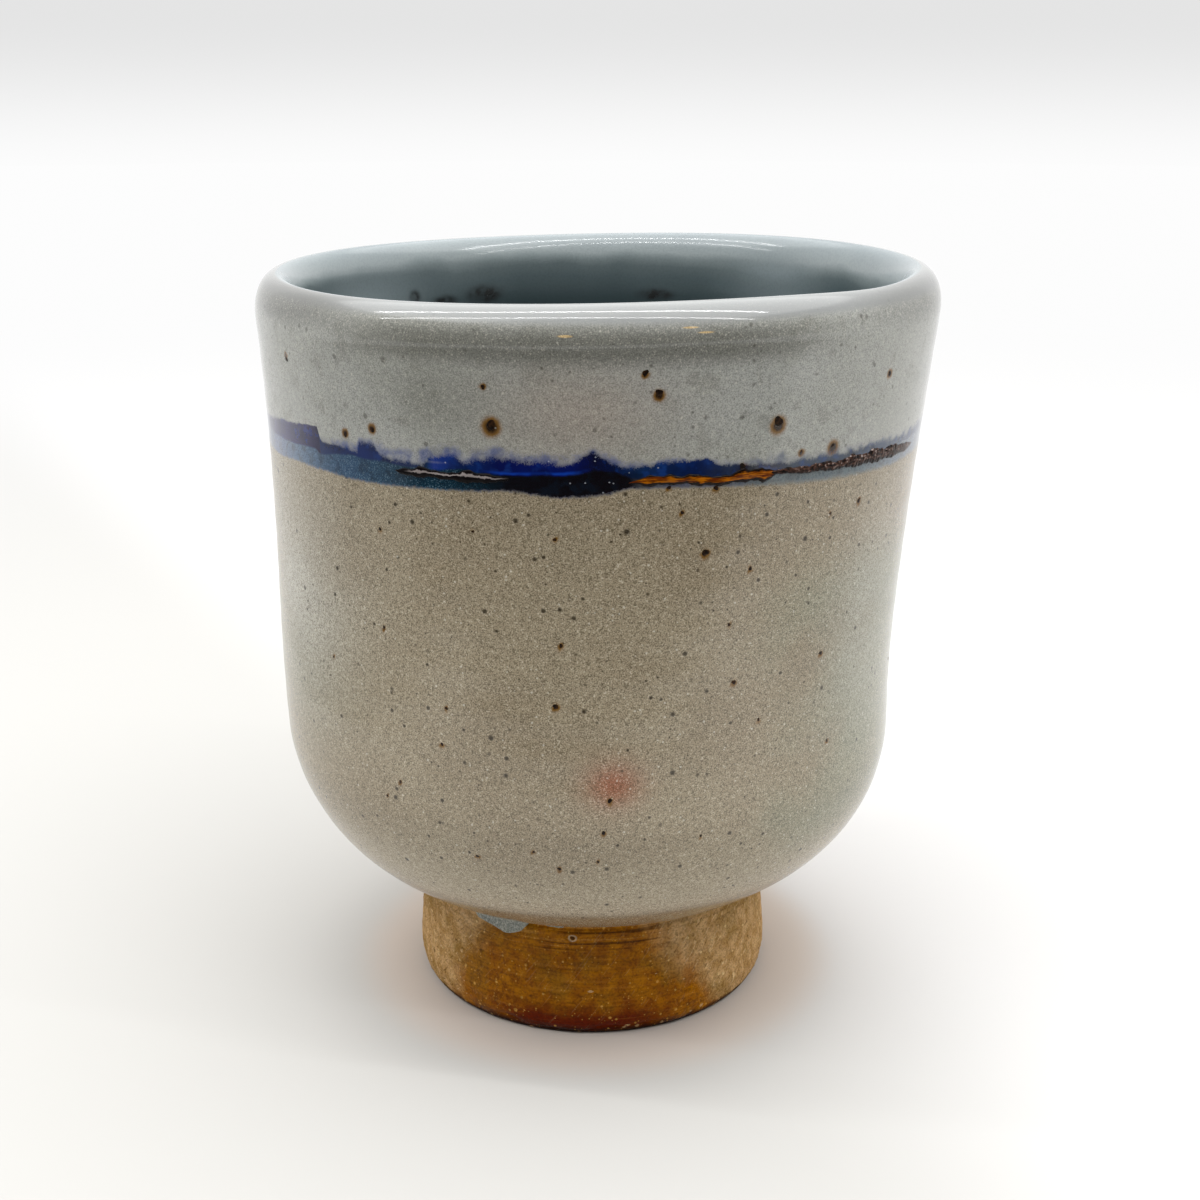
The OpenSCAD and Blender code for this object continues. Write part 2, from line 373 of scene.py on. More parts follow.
def make_outer_coats():
    """Lower glaze, blue band and rim glaze, which share their edges."""
    band_low = skin_at_height(BAND_Z)
    wall_x = flare_radius(BAND_TOP) * np.sin(np.radians(AZIMUTHS))
    band_high = skin_at_height(BAND_TOP - math.tan(math.radians(BAND_TILT)) * wall_x)
    make_coat("body_glaze", 0.0, band_low, 0.5, "body_glaze")
    make_coat("blue_band", band_low, band_high, 0.35, "cobalt_band")
    make_coat("rim_glaze", band_high, CREST, 0.2, "rim_glaze")


# Rows of points on the inside coat: close together for a reach below the crest, then even
LINER_LIP_REACH = 6
LINER_LIP_ROWS = 24
LINER_ROWS = 150
LINER_BACK_ROWS = 40


def make_liner():
    """The inside coat: a shell from the crest to the middle of the floor, closed by a disc at each face."""
    centre = SKIN.end - DISC_R
    top = np.linspace(0, 1, LINER_LIP_ROWS) ** 2 * LINER_LIP_REACH + CREST
    lengths = np.concatenate([top, np.linspace(top[-1], centre, LINER_ROWS)[1:]])[:, None]
    face = skin_points(AZIMUTHS, lengths)
    back = skin_points(AZIMUTHS, np.linspace(centre, CREST, LINER_BACK_ROWS)[:, None], GLAZE_T)
    points = np.concatenate([face, back])
    faces = quads(len(points), AROUND, True, True)
    seam = (len(face) - 1) * AROUND
    faces = faces[:seam] + faces[seam + AROUND:]
    rim_of_face = list(range(seam, seam + AROUND))
    faces.append(rim_of_face)
    faces.append([index + AROUND for index in reversed(rim_of_face)])
    normals = np.zeros_like(points)
    normals[:len(face)] = skin_normals(AZIMUTHS, lengths)
    add_piece("liner_glaze", points, faces, liner_material(), "liner_glaze", normals)


# The clay starts a little above the foot, and its rows are closer within a reach of the crest
CLAY_FROM = 0.3
CLAY_LIP_REACH = 4
CLAY_ROWS = (80, 40, 60)
UNDERSIDE_EDGE_R = 21.5
UNDERSIDE_MIDDLE_R = 1
UNDERSIDE_ROWS = 90
UNDERSIDE_RING = 0.12
UNDERSIDE_PITCH = 1.9
UNDERSIDE_FADE = 2


def make_wall():
    """The fired clay between the coats, with the turned face that shows inside the foot."""
    stops = (CLAY_FROM, CREST - CLAY_LIP_REACH, CREST + CLAY_LIP_REACH, SKIN.end - DISC_R)
    stretches = [np.linspace(*ends, rows)[1:] for *ends, rows in zip(stops, stops[1:], CLAY_ROWS)]
    shell = skin_points(AZIMUTHS, np.concatenate([[CLAY_FROM], *stretches])[:, None], GLAZE_T)
    r = np.linspace(UNDERSIDE_MIDDLE_R, UNDERSIDE_EDGE_R, UNDERSIDE_ROWS)[:, None]
    cut = UNDERSIDE_RING * (1 + np.sin(2 * np.pi * r / UNDERSIDE_PITCH + np.radians(AZIMUTHS)))
    under = thrown(turned(AZIMUTHS, r, SEAT_Z + cut * smooth(FOOT_IN_R - r, 0, UNDERSIDE_FADE)))
    points = np.concatenate([under, shell])
    add_piece("bowl_wall", points, tube(len(points), AROUND), clay_material("stoneware"), "stoneware")


# Foot ring
FOOT_SEED = 11
FOOT_STEP = 0.22
FOOT_INNER_END = 0.35
FOOT_FLOOR_FADE = 0.4
FOOT_SEAT_FADE = 1
# Grog and pits in its clay: how many, how tall, and the least and the greatest radius
FOOT_GRAINS = [(900, 0.07, 0.15, 0.4), (260, -0.09, 0.12, 0.35)]
# Turning lines in its clay: pitch and depth
FOOT_LINES = [(1.7, 0.03), (0.83, 0.025), (0.47, 0.02)]


def foot_path():
    """Section of the foot, from its inner top edge down, under and up its outer face."""
    inner = np.array([[FOOT_IN_R, SEAT_Z], [FOOT_IN_R, FOOT_BEVEL + FOOT_INNER_END]])
    bevel = arc((FOOT_IN_R + FOOT_BEVEL, FOOT_BEVEL), FOOT_BEVEL, FOOT_BEVEL, 180, 270)
    edge = arc((FOOT_BASE_R - FOOT_EDGE_W, FOOT_EDGE_H), FOOT_EDGE_W, FOOT_EDGE_H, -90, 0)
    face = np.array([[FOOT_BASE_R, FOOT_EDGE_H], [FOOT_TOP_R, SEAT_Z - FOOT_NECK], [FOOT_TOP_R, SEAT_Z]])
    return Path(inner, bevel, edge, face)


FOOT = foot_path()


def foot_points(azimuth, length, rise=0.0):
    """Points of the foot's surface, raised by an amount above it."""
    r, z = FOOT.at(length, -np.asarray(rise))
    return thrown(turned(azimuth, r, np.maximum(z, 0)))


def foot_at_height(z):
    """Length along the foot's section, on its outer face, at a height."""
    outer = FOOT.r > FOOT_BASE_R - FOOT_EDGE_W
    return np.interp(z, FOOT.z[outer], FOOT.length[outer])


def foot_grain(lengths):
    """Grog specks, pits and turning lines in the clay: a height field and the share of light grog."""
    rng = np.random.default_rng(FOOT_SEED)
    field = np.zeros((len(lengths), AROUND))
    grog = np.zeros_like(field)
    step_round = 2 * np.pi * FOOT_BASE_R / AROUND
    for count, tall, small, wide in FOOT_GRAINS:
        rows = rng.integers(0, len(lengths), count)
        columns = rng.integers(0, AROUND, count)
        sizes = rng.uniform(small, wide, count)
        for row, column, size in zip(rows, columns, sizes):
            reach = int(3 * size / FOOT_STEP) + 1
            near = np.arange(max(0, row - reach), min(len(lengths), row + reach + 1))
            beside = np.arange(column - reach, column + reach + 1)
            gap = np.hypot((lengths[near] - lengths[row])[:, None], (beside - column)[None] * step_round)
            bump = np.exp(-(gap / size) ** 2)
            block = np.ix_(near, beside % AROUND)
            field[block] += tall * bump
            grog[block] = np.maximum(grog[block], bump) if tall > 0 else grog[block] * (1 - bump)
    lines = np.zeros(len(lengths))
    for pitch, deep in FOOT_LINES:
        lines += deep * np.sin(2 * np.pi * lengths / pitch + rng.uniform(0, 6))
    drift = np.sin(np.radians(AZIMUTHS) * 2 + 0.5)[None] * 0.5 + 0.7
    return field + lines[:, None] * drift, grog


def make_foot():
    lengths = np.arange(0, FOOT.end, FOOT_STEP)
    rise, grog = foot_grain(lengths)
    on_floor = smooth(FOOT.at(lengths)[1], 0, FOOT_FLOOR_FADE)
    joined = smooth(FOOT.end - lengths, 0, FOOT_SEAT_FADE) * smooth(lengths, 0, FOOT_SEAT_FADE)
    points = foot_points(AZIMUTHS, lengths[:, None], rise * (on_floor * joined)[:, None])
    faces = quads(len(lengths), AROUND, True, True)
    add_piece("foot_ring", points, faces, clay_material("foot_clay"), "foot_clay", None, {"grog": grog})


FILM_SINK = 0.3


def film_patch(azimuths, lengths, rise):
    """A closed sheet over part of the foot: its face follows rise, its back lies at a sunk depth."""
    face = foot_points(azimuths, lengths[:, None], rise)
    back = foot_points(azimuths, lengths[:, None], np.full_like(rise, -FILM_SINK))
    rows, columns = rise.shape
    count = rows * columns
    front = quads(rows, columns, False, False)
    faces = front + [[index + count for index in reversed(corners)] for corners in front]
    grid = np.arange(count).reshape(rows, columns)
    ring = np.concatenate([grid[0], grid[1:, -1], grid[-1, -2::-1], grid[-2:0:-1, 0]]).tolist()
    for one, other in zip(ring, ring[1:] + ring[:1]):
        faces.append([other, one, one + count, other + count])
    return np.concatenate([face.reshape(-1, 3), back.reshape(-1, 3)]), faces


# Amber wash on the foot: its reach in azimuth and height, and the fade at its uneven border
WASH_T = 0.12
WASH_FROM = -46
WASH_TO = 36
WASH_MARGIN = 8
WASH_EDGE_Z = 1.1
WASH_BOTTOM_Z = 0.6
WASH_HIGH_DROP = 0.3
WASH_GRID = (80, 260)
WASH_LINES = [(1.3, 0.02), (0.7, 0.018), (0.43, 0.014)]
WASH_UNDER = 0.04
# A burst bubble in the wash: azimuth and height, and its width and height
PIT = (-6.9, 13)
PIT_SIZE = (0.62, 0.45)


def make_wash():
    """The glassy amber wash over the front of the foot, thinning out to an uneven border."""
    azimuths = np.linspace(WASH_FROM - WASH_MARGIN, WASH_TO + WASH_MARGIN, WASH_GRID[1])
    ends = foot_at_height(np.array([WASH_BOTTOM_Z, SEAT_Z - WASH_HIGH_DROP]))
    lengths = np.linspace(*ends, WASH_GRID[0])
    z = FOOT.at(lengths)[1][:, None]
    turn = np.radians(azimuths)
    wander = 3 * np.sin(z * 0.9) + 2 * np.sin(z * 2.1 + 1) + 1.5 * np.sin(z * 4.3)
    inside = smooth(azimuths - WASH_FROM - wander, -3, 8) * smooth(WASH_TO + wander - azimuths, -3, 8)
    low_edge = WASH_EDGE_Z + 0.4 * np.sin(turn * 9) + 0.3 * np.sin(turn * 23)
    inside = inside * smooth(z, low_edge - 0.6, low_edge + 0.6) * smooth(SEAT_Z - 0.8 - z, 0, 0.6)
    lines = sum(deep * np.sin(2 * np.pi * z / pitch + azimuths / 40 + pitch * 9)
                for pitch, deep in WASH_LINES)
    gap = np.hypot(np.radians(azimuths - PIT[0]) * FOOT_TOP_R / PIT_SIZE[0], (z - PIT[1]) / PIT_SIZE[1])
    pit = 0.1 * np.exp(-((gap - 1) / 0.3) ** 2) - 0.2 * np.exp(-(gap / 0.7) ** 2)
    rise = (WASH_T + lines + pit) * inside - WASH_UNDER * (1 - inside)
    add_piece("amber_wash", *film_patch(azimuths, lengths, rise), wash_material(), "amber_wash")


# Glaze that ran on to the foot: how far it hangs below the seat, by azimuth
RUNS = [
    [(-41.5, 0), (-40.5, 1), (-39.3, 1.9), (-36, 2.1), (-33, 2.3), (-30, 2.6), (-28, 2.85), (-26.3, 2.7),
     (-24.5, 2.5), (-22, 2), (-20, 1), (-18, 0)],
    [(-17.5, 0), (-14, 0.9), (-9, 1), (-5, 0)],
    [(146, 0), (148.5, 1.8), (152, 3.4), (155, 1.6), (158, 0)],
]
RUN_T = 0.3
RUN_SMOOTH = 5
RUN_GRID = (90, 150)
RUN_MARGIN = 0.6
RUN_EDGE = 0.5
RUN_TOP_GAP = 0.05
RUN_SLOPE = 0.4


def make_runs():
    """Glaze that crept over the seat: low tongues with rounded edges."""
    parts = []
    window = 2 * RUN_SMOOTH + 1
    for outline in RUNS:
        places, drops = zip(*outline)
        azimuths = np.linspace(places[0], places[-1], RUN_GRID[1])
        hang = np.pad(np.interp(azimuths, places, drops), RUN_SMOOTH, mode="edge")
        hang = np.convolve(hang, np.ones(window) / window, "valid")
        lowest = foot_at_height(SEAT_Z - max(drops) - RUN_MARGIN)
        lengths = np.linspace(lowest, FOOT.end - RUN_TOP_GAP, RUN_GRID[0])
        inside = FOOT.at(lengths)[1][:, None] - (SEAT_Z - hang)
        rise = RUN_T * np.sqrt(np.clip(inside / RUN_EDGE, 0, 1)) + RUN_SLOPE * np.clip(inside, -RUN_EDGE, 0)
        parts.append(film_patch(azimuths, lengths, rise))
    add_piece("glaze_runs", *join(parts), run_material(), "glaze_runs")


SPOT_SEED = 5
SPOT_RISE = 0.06
SPOT_SET = 0.015
SPOT_SINK = 0.25
SPOT_RINGS = 4
SPOT_SIDES = 16
CRATER = 0.7
CRATER_R = 0.45


def make_spots():
    """Low domes of melted iron, every third burst into a crater, each with an uneven outline."""
    parts = []
    rng = np.random.default_rng(SPOT_SEED)
    turn = np.arange(SPOT_SIDES) * 2 * np.pi / SPOT_SIDES
    for number, (azimuth, z, width, _) in enumerate(RIM_SPOTS + BODY_SPOTS):
        outline = 1 + 0.16 * np.sin(2 * turn + rng.uniform(0, 6))
        outline = outline + 0.1 * np.sin(3 * turn + rng.uniform(0, 6))
        length = skin_at_height(z)
        crater = CRATER if number % 3 == 1 else 0.0
        shares = np.arange(1, SPOT_RINGS + 1) / SPOT_RINGS
        domes = 1 - shares ** 2 - crater * np.exp(-(shares / CRATER_R) ** 2)
        rings = list(zip(shares, SPOT_SET - SPOT_RISE * domes)) + [(0.5, SPOT_SINK)]
        points = []
        for share, depth in rings:
            reach = width / 2 * share * outline
            spread = np.degrees(reach * np.cos(turn) / SKIN.at(length)[0])
            points.append(skin_points(azimuth + spread, length + reach * np.sin(turn), depth))
        parts.append((np.concatenate(points), tube(len(rings), SPOT_SIDES)))
    add_piece("iron_spots", *join(parts), spot_material(), "iron_spots")


# Unevenness of a drawn line: size and rate of its waves
WAVY = [(0.2, 0.6), (0.15, 1.7), (0.07, 4.3)]
RIDGED = [(0.14, 1.1), (0.08, 3.7), (0.05, 7.9)]
# Height and half width along the drawn line, by azimuth
LINE_PLACE = [(5, 72.6), (6.8, 72.8), (13.3, 72.65), (18.7, 72.42), (24, 72.5), (28.5, 72.62), (34, 72.48),
              (40.4, 72.36), (47.8, 72.38), (54.8, 72.2), (61, 71.9), (68, 71.6)]
AMBER_HALF = [(5, 0.3), (7, 0.46), (13, 0.5), (19, 0.5), (23, 0.6), (26, 0.75), (28.5, 0.7)]
RIDGE_HALF = [(26, 0.3), (30, 0.32), (34, 0.4), (40.4, 0.49), (47.8, 0.7), (54.8, 0.68), (61, 0.5),
              (66, 0.4)]
CUT_PLACE = [(-32, 72.8), (-20, 72.85), (-12, 72.8)]
CUT_HALF = [(-32, 0.3), (-26, 0.46), (-18, 0.5), (-12, 0.4)]
BEAD_SIDES = 18
BEAD_STEPS = 8
BEAD_TAPER = 9
BEAD_END = 0.03
BEAD_SINK = 0.2


def along(points, azimuth):
    """Values at azimuths on a wavering line through points of azimuth and value."""
    waver = 0.05 * np.sin(azimuth * 0.9) + 0.03 * np.sin(azimuth * 2.3 + 1)
    return np.interp(azimuth, *zip(*points)) + waver


def bead(stops, half_width, rise, place, rough, seed):
    """A raised line on the wall between two azimuths, and how far across it each point lies."""
    rng = np.random.default_rng(seed)
    azimuths = np.linspace(*stops, int(abs(stops[1] - stops[0]) * BEAD_STEPS))
    share = np.linspace(0, 1, len(azimuths))
    taper = np.clip(np.minimum(share, 1 - share) * BEAD_TAPER, BEAD_END, 1)[:, None] ** 0.5
    uneven = [sum(size * np.sin(azimuths * rate + rng.uniform(0, 6)) for size, rate in rough)[:, None]
              for _ in range(2)]
    turn = np.arange(BEAD_SIDES) * 2 * np.pi / BEAD_SIDES
    edge = 1 + np.where(np.cos(turn) > 0, *uneven)
    across = along(half_width, azimuths)[:, None] * taper * np.cos(turn) * edge
    length = skin_at_height(along(place, azimuths))[:, None] + across
    lift = np.sin(turn) * np.where(np.sin(turn) > 0, rise, BEAD_SINK) * taper * edge
    points = skin_points(azimuths[:, None], length, -lift).reshape(-1, 3)
    return points, tube(len(azimuths), BEAD_SIDES), np.broadcast_to(np.cos(turn), across.shape).ravel()


def make_lines():
    """The amber line over the band's right half and the dark incised lines on both sides of it."""
    points, faces, across = bead((5, 28.5), AMBER_HALF, 0.16, LINE_PLACE, WAVY, 3)
    add_piece("amber_line", points, faces, amber_material(), "amber_line", None, {"across": across})
    parts = [bead((-31.5, -12.5), CUT_HALF, 0.16, CUT_PLACE, WAVY, 4),
             bead((26.5, 66), RIDGE_HALF, 0.2, LINE_PLACE, RIDGED, 6)]
    across = np.concatenate([part[2] for part in parts])
    add_piece("iron_line", *join(parts), iron_material(), "iron_line", None, {"across": across})


def rgb(code):
    """Linear colour of a hex code."""
    values = [int(code[at:at + 2], 16) / 255 for at in (1, 3, 5)]
    return tuple(v / 12.92 if v <= 0.04045 else ((v + 0.055) / 1.055) ** 2.4 for v in values) + (1,)


class Field:
    """An output of a node. What is worked out from it becomes nodes of the same tree."""

    def __init__(self, nodes, socket):
        self.nodes = nodes
        self.socket = socket

    def math(self, operation, *others):
        return self.nodes.field("Math", dict(enumerate((self,) + others)), operation=operation)

    def __add__(self, other):
        return self.math("ADD", other)

    def __sub__(self, other):
        return self.math("SUBTRACT", other)

    def __mul__(self, other):
        return self.math("MULTIPLY", other)

    def blend(self, low, high, start=0.0, stop=1.0):
        """Start below low, stop above high, and an even change between."""
        ends = {"Value": self, "From Min": low, "From Max": high, "To Min": start, "To Max": stop}
        return self.nodes.field("MapRange", ends, interpolation_type="SMOOTHSTEP")

    def span(self, start, stop, soft):
        """1 between start and stop, with soft ends."""
        return self.blend(start - soft, start + soft) * self.blend(stop - soft, stop + soft, 1.0, 0.0)

    def pick(self, first, second):
        """The first colour where this is 0, the second where it is 1, and a mix between."""
        return self.nodes.field("Mix", {0: self, 6: first, 7: second}, 2, data_type="RGBA")

    def tint(self, share, colour):
        """This colour with a share of another."""
        return self.nodes.field("Mix", {0: share, 6: self, 7: colour}, 2, data_type="RGBA")


class Nodes:
    """The node tree of a material or world. Inputs take numbers, hex codes of colours, and fields."""

    def __init__(self, holder):
        holder.use_nodes = True
        self.tree = holder.node_tree
        self.tree.nodes.clear()

    def node(self, kind, inputs=None, **settings):
        node = self.tree.nodes.new("ShaderNode" + kind)
        for key, value in settings.items():
            setattr(node, key, value)
        for key, value in (inputs or {}).items():
            if isinstance(value, Field):
                self.tree.links.new(value.socket, node.inputs[key])
            else:
                node.inputs[key].default_value = rgb(value) if isinstance(value, str) else value
        return node

    def field(self, kind, inputs=None, output=0, **settings):
        """One output of a new node."""
        return Field(self, self.node(kind, inputs, **settings).outputs[output])

    def fields(self, kind, inputs):
        """All outputs of a new node."""
        return [Field(self, socket) for socket in self.node(kind, inputs).outputs]


class Shader(Nodes):
    """The node tree of a material, with places in millimetres and degrees."""

    def __init__(self, name):
        self.material = bpy.data.materials.new(name)
        super().__init__(self.material)
        place = self.field("TexCoord", output="Object")
        self.point = self.field("VectorMath", {0: place, "Scale": 1 / MM}, operation="SCALE")
        self.side, self.depth, self.height = self.fields("SeparateXYZ", {0: self.point})
        self.azimuth = self.side.math("ARCTAN2", self.depth * -1.0) * math.degrees(1)

    def attribute(self, name):
        return self.field("Attribute", output="Fac", attribute_name=name)

    def noise(self, size, detail=2.0, vector=None):
        """Noise from 0 to 1 with features of about that size."""
        return self.field("TexNoise", {"Vector": vector or self.point, "Scale": 1 / size, "Detail": detail})

    def stretched(self, across, up):
        """The place with its sideways and upward lengths divided, for streaks."""
        scale = (1 / across, 1 / across, 1 / up)
        return self.field("VectorMath", {0: self.point, 1: scale}, operation="MULTIPLY")

    def flecks(self, spacing, size, share):
        """Dots of a radius, in a share of cells of a spacing."""
        distance, cell = self.fields("TexVoronoi", {"Vector": self.point, "Scale": 1 / spacing})[:2]
        chance, scale = self.fields("SeparateColor", {0: cell})[:2]
        radius = scale * (size / spacing)
        return distance.blend(radius * 0.4, radius, 1.0, 0.0) * chance.math("LESS_THAN", share)

    def patch(self, azimuth, height, wide, tall):
        """A soft round patch at a place on the wall."""
        across = (self.azimuth - azimuth) * (1 / wide)
        up = (self.height - height) * (1 / tall)
        return ((across * across + up * up) * -1.0).math("EXPONENT")

    def daubs(self, colour, code, places, fade=None, by=None):
        """The colour with patches of another: azimuth, height, width, height and strength of each."""
        for *place, strength in places:
            share = self.patch(*place)
            share = share.blend(*fade, 0.0, strength) if fade else share * strength
            colour = colour.tint(share * by if by else share, code)
        return colour

    def along(self, value, points):
        """How far a value lies between the first and the last of some points, from 0 to 1."""
        return self.field("MapRange", {"Value": value, "From Min": points[0][0], "From Max": points[-1][0]})

    def ramp(self, value, stops):
        """Colour and cover along a value, from stops of position, colour and cover."""
        first, last = stops[0][0], stops[-1][0]
        node = self.node("ValToRGB", {0: self.along(value, stops)})
        elements = node.color_ramp.elements
        while len(elements) < len(stops):
            elements.new(0.5)
        for element, (at, colour, cover) in zip(elements, stops):
            element.position = (at - first) / (last - first)
            element.color = rgb(colour)[:3] + (cover,)
        return [Field(self, socket) for socket in node.outputs]

    def curve(self, value, points, low, high):
        """A line through points of position and value, between two limits of value."""
        first, last = points[0][0], points[-1][0]
        node = self.node("FloatCurve", {"Value": self.along(value, points)})
        line = node.mapping.curves[0]
        places = [((at - first) / (last - first), (to - low) / (high - low)) for at, to in points]
        line.points[0].location = places[0]
        line.points[1].location = places[-1]
        for place in places[1:-1]:
            line.points.new(*place)
        for point in line.points:
            point.handle_type = "VECTOR"
        node.mapping.update()
        return Field(self, node.outputs[0]) * (high - low) + low

    def finish(self, bump=(), **inputs):
        """The material. Bump is pairs of a height field and the depth that it stands for."""
        for field, depth in bump:
            below = {"Normal": inputs["Normal"]} if "Normal" in inputs else {}
            heights = {"Height": field, "Distance": depth * MM, "Strength": 1.0}
            inputs["Normal"] = self.field("Bump", {**heights, **below})
        named = {key.replace("_", " "): value for key, value in inputs.items()}
        self.node("OutputMaterial", {"Surface": self.field("BsdfPrincipled", named)})
        return self.material


# Edges of the brushed band as azimuth and height, over the bowl's front
BAND_LOW_EDGE = [
    (-78, 70.5), (-64, 70.6), (-57, 71), (-47, 71), (-41, 70.8), (-30, 71), (-20, 71.3), (-12.5, 71.6),
    (-6, 71.1), (-1, 71.2), (2.5, 71.55), (5.3, 72.1), (12, 72), (19, 71.8), (30, 71.4), (40, 71.05),
    (48, 70.85), (56, 70.6), (66, 70.6), (78, 70.5),
]
BAND_HIGH_EDGE = [
    (-78, 74.2), (-64, 75), (-55, 75.4), (-48.7, 75.75), (-48.1, 74.35), (-46, 74.3), (-39, 74.5),
    (-38.3, 75.5), (-35.4, 75.5), (-34.4, 74.4), (-29, 74.1), (-26, 74.1), (-25, 75), (-23, 75.3),
    (-20.8, 75.3), (-19.6, 74.7), (-17, 75.2), (-14, 75.6), (-11, 75.3), (-8, 75.1), (-5, 75), (-3, 75),
    (-1.8, 75.6), (-0.9, 76.1), (0.3, 76.15), (1.2, 75.6), (2.6, 75), (4.6, 74.5), (9, 74.8), (13, 75),
    (16.8, 75.1), (18.2, 74.4), (25, 74), (29.6, 73.9), (34, 74), (40, 73.9), (47, 74), (54, 74),
    (61, 73.7), (78, 74.2),
]
# Upper edge and cover of the thin wash of blue that shows above the band
BAND_WASH_EDGE = [
    (-78, 74.4), (-48, 74.6), (-44, 74.9), (-39, 75), (-38.4, 75.8), (-33.6, 75.9), (-33, 75.1), (-27, 75.3),
    (-24.4, 76.1), (-20.4, 76.1), (-19.5, 75.6), (-17, 76), (-13.6, 76.4), (-11.5, 76), (-5, 75.7),
    (-2.6, 75.6), (-0.2, 76.7), (2, 75.9), (4.6, 75), (12, 75.2), (19, 74.7), (26.3, 74.6), (26.9, 75),
    (29.4, 75), (30, 74.4), (61, 74.1), (78, 74.4),
]
BAND_WASH_COVER = 0.62
BAND_LIMITS = (68, 80)
# Height over which the upper edge fades out
BAND_SOFT = [
    (-78, 0.9), (-64, 0.5), (-50, 0.2), (-44, 0.4), (-39, 0.9), (-33, 0.8), (-26, 0.7), (-20, 0.9),
    (-14, 1.0), (-6, 0.8), (-2, 0.7), (2, 0.6), (6, 0.7), (14, 0.5), (22, 0.4),
    (30, 0.6), (60, 0.7), (78, 0.9),
]
SOFT_LIMITS = (0, 2)
# Height where the lower colours of the band give way to the upper ones
BAND_SPLIT = [
    (-78, 72.6), (-60, 72.7), (-50, 73.1), (-48.4, 72.6), (-46, 72.9), (-40.6, 73.35), (-34, 73.2),
    (-24, 73.2), (-20, 73.4), (-12.6, 73.15), (-6, 73.3), (-2, 73.5), (0.3, 73.95), (3.5, 73.7),
    (5.5, 73), (7, 72.8), (30, 72.5), (78, 72.6),
]
# Colour and cover of the band's upper and lower part, along the azimuth
BAND_UPPER = [
    (-78, "#24386a", 0.8), (-66, "#3c3868", 0.92), (-55, "#28245a", 1), (-48.7, "#18143e", 1),
    (-48.2, "#122a58", 1), (-38, "#0c2660", 1), (-29, "#10244c", 1), (-25.5, "#123058", 1),
    (-24.5, "#0c2f86", 0.95), (-19, "#062660", 1), (-14, "#020d4c", 1), (-8, "#001460", 1),
    (-3, "#001058", 1), (0, "#060a30", 1), (2.5, "#02103c", 1), (6.6, "#0a2850", 1), (15, "#062460", 1),
    (20, "#0e2448", 0.95), (24, "#20222f", 0.92), (27.5, "#262a48", 0.92), (31, "#26384e", 0.92),
    (56, "#384862", 0.9), (78, "#24386a", 0.8),
]
BAND_LOWER = [
    (-78, "#4a5f7c", 0.8), (-66, "#7883a0", 0.8), (-56, "#5a7490", 0.92), (-46, "#3a5876", 1),
    (-40, "#2f4e6c", 1), (-34, "#22425a", 1), (-29, "#123446", 1), (-22, "#0e3040", 1),
    (-16, "#08202c", 1), (-13, "#06040a", 1), (3.5, "#070207", 1), (5.5, "#0c060a", 1),
    (8, "#3a3838", 0.7), (18, "#5a5a58", 0.5), (26, "#586668", 0.78), (45, "#627276", 0.85),
    (66, "#7a8798", 0.6), (78, "#4a5f7c", 0.8),
]
# The pale gap under the stroke that lies above the band's left half
GAP = (-26.5, -22.5)
GAP_Z = (73.9, 74.05)
# Painted glints of light in the dark glass: azimuth and height, and the size and strength of all
GLINTS = [(-3.4, 72.6), (-1.2, 72.65), (2.3, 72.7), (2.9, 72.6), (1.4, 71.65), (-22.4, 74.05), (0.3, 75.3),
          (0.2, 74.9), (9.4, 74.1), (-6.5, 74.8)]
GLINT = (0.14, 0.08, 0.38)
GLINT_FADE = (0.2, 0.7)
BAND_SPECKS = (1.1, 0.14, 0.25)
# Beyond these azimuths the edges of the band wander freely
BACK_FROM = (66, 95)


